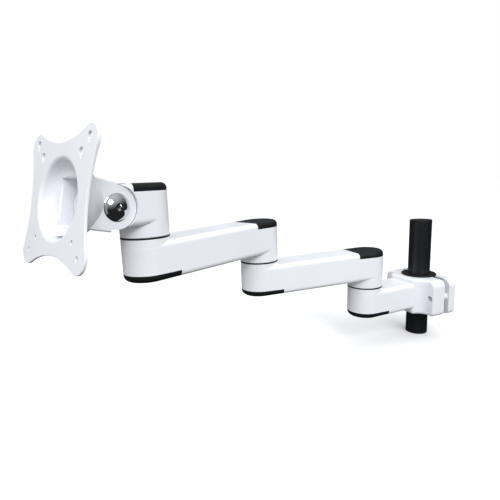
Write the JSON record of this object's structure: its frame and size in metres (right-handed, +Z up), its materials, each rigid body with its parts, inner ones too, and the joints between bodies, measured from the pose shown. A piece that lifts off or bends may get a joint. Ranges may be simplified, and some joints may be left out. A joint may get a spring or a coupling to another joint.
{
  "type": "pole-clamp monitor arm",
  "caption": "Swivelling screen arm clamped to a round pole, with stacked swivel joints, a tilting head and a square-pattern screen plate.",
  "frame": {"origin": "the pole's axis at its lower end", "axes": "+Z up along the pole, -X from the pole towards the first swivel joint"},
  "size_m": [0.6085, 0.2009, 0.3248],
  "materials": {
    "white_coat": "satin white powder coat on die-cast aluminium",
    "black_moulding": "fine-textured black moulding",
    "pole_coat": "satin black powder coat on steel tube",
    "acetal": "turned black acetal",
    "chrome": "bright chrome",
    "zinc_steel": "zinc-plated steel"
  },
  "bodies": {
    "pole": {"pole_tube": "pole_coat", "pole_top_cap": "black_moulding"},
    "liner": {"liner_front_half": "black_moulding", "liner_rear_half": "black_moulding"},
    "clamp": {"clamp_arm": "white_coat", "clamp_arm_bottom_cover": "black_moulding", "clamp_rear_jaw": "white_coat", "jaw_gap_strips": "black_moulding", "clamp_screws": "zinc_steel", "shoulder_friction_ring": "black_moulding", "shoulder_bush": "acetal"},
    "rear_link": {"rear_arm": "white_coat", "rear_arm_top_cap": "black_moulding", "rear_arm_bottom_cover": "black_moulding", "shoulder_pivot_bolt": "zinc_steel", "shoulder_washers": "zinc_steel", "shoulder_disc_springs": "zinc_steel", "shoulder_lock_nut": "zinc_steel", "elbow_friction_ring": "black_moulding", "elbow_bush": "acetal"},
    "front_link": {"front_arm": "white_coat", "front_arm_top_cap": "black_moulding", "front_arm_bottom_cover": "black_moulding", "elbow_pivot_bolt": "zinc_steel", "elbow_washers": "zinc_steel", "elbow_disc_springs": "zinc_steel", "elbow_lock_nut": "zinc_steel", "wrist_friction_ring": "black_moulding", "wrist_bush": "acetal"},
    "head": {"swivel_head": "white_coat", "head_top_cap": "black_moulding", "wrist_pivot_bolt": "zinc_steel", "wrist_washers": "zinc_steel", "wrist_disc_springs": "zinc_steel", "wrist_lock_nut": "zinc_steel", "tilt_bush": "acetal"},
    "screen_mount": {"screen_plate": "white_coat", "tilt_bolt": "chrome", "tilt_lock_nut": "zinc_steel", "tilt_washer": "zinc_steel", "tilt_friction_washers": "acetal"}
  },
  "joints": [
    {"name": "height_slide", "type": "slide", "parent": "pole", "child": "liner", "axis": [0, 0, 1], "range_m": [-0.038, 0.08]},
    {"name": "clamp_turn", "type": "hinge", "parent": "liner", "child": "clamp", "pos_m": [0, 0, 0.1], "axis": [0, 0, 1], "continuous": true},
    {"name": "shoulder_swivel", "type": "hinge", "parent": "clamp", "child": "rear_link", "pos_m": [-0.116, 0, 0.1], "axis": [0, 0, 1], "range_deg": [-66, 78]},
    {"name": "elbow_swivel", "type": "hinge", "parent": "rear_link", "child": "front_link", "pos_m": [-0.29302, 0.01861, 0.158], "axis": [0, 0, 1], "range_deg": [-146, 94]},
    {"name": "wrist_swivel", "type": "hinge", "parent": "front_link", "child": "head", "pos_m": [-0.45964, -0.04402, 0.216], "axis": [0, 0, 1], "range_deg": [-96, 84]},
    {"name": "screen_tilt", "type": "hinge", "parent": "head", "child": "screen_mount", "pos_m": [-0.5006, -0.06453, 0.2517], "axis": [-0.4478, 0.8942, 0], "range_deg": [-33, 17]}
  ]
}
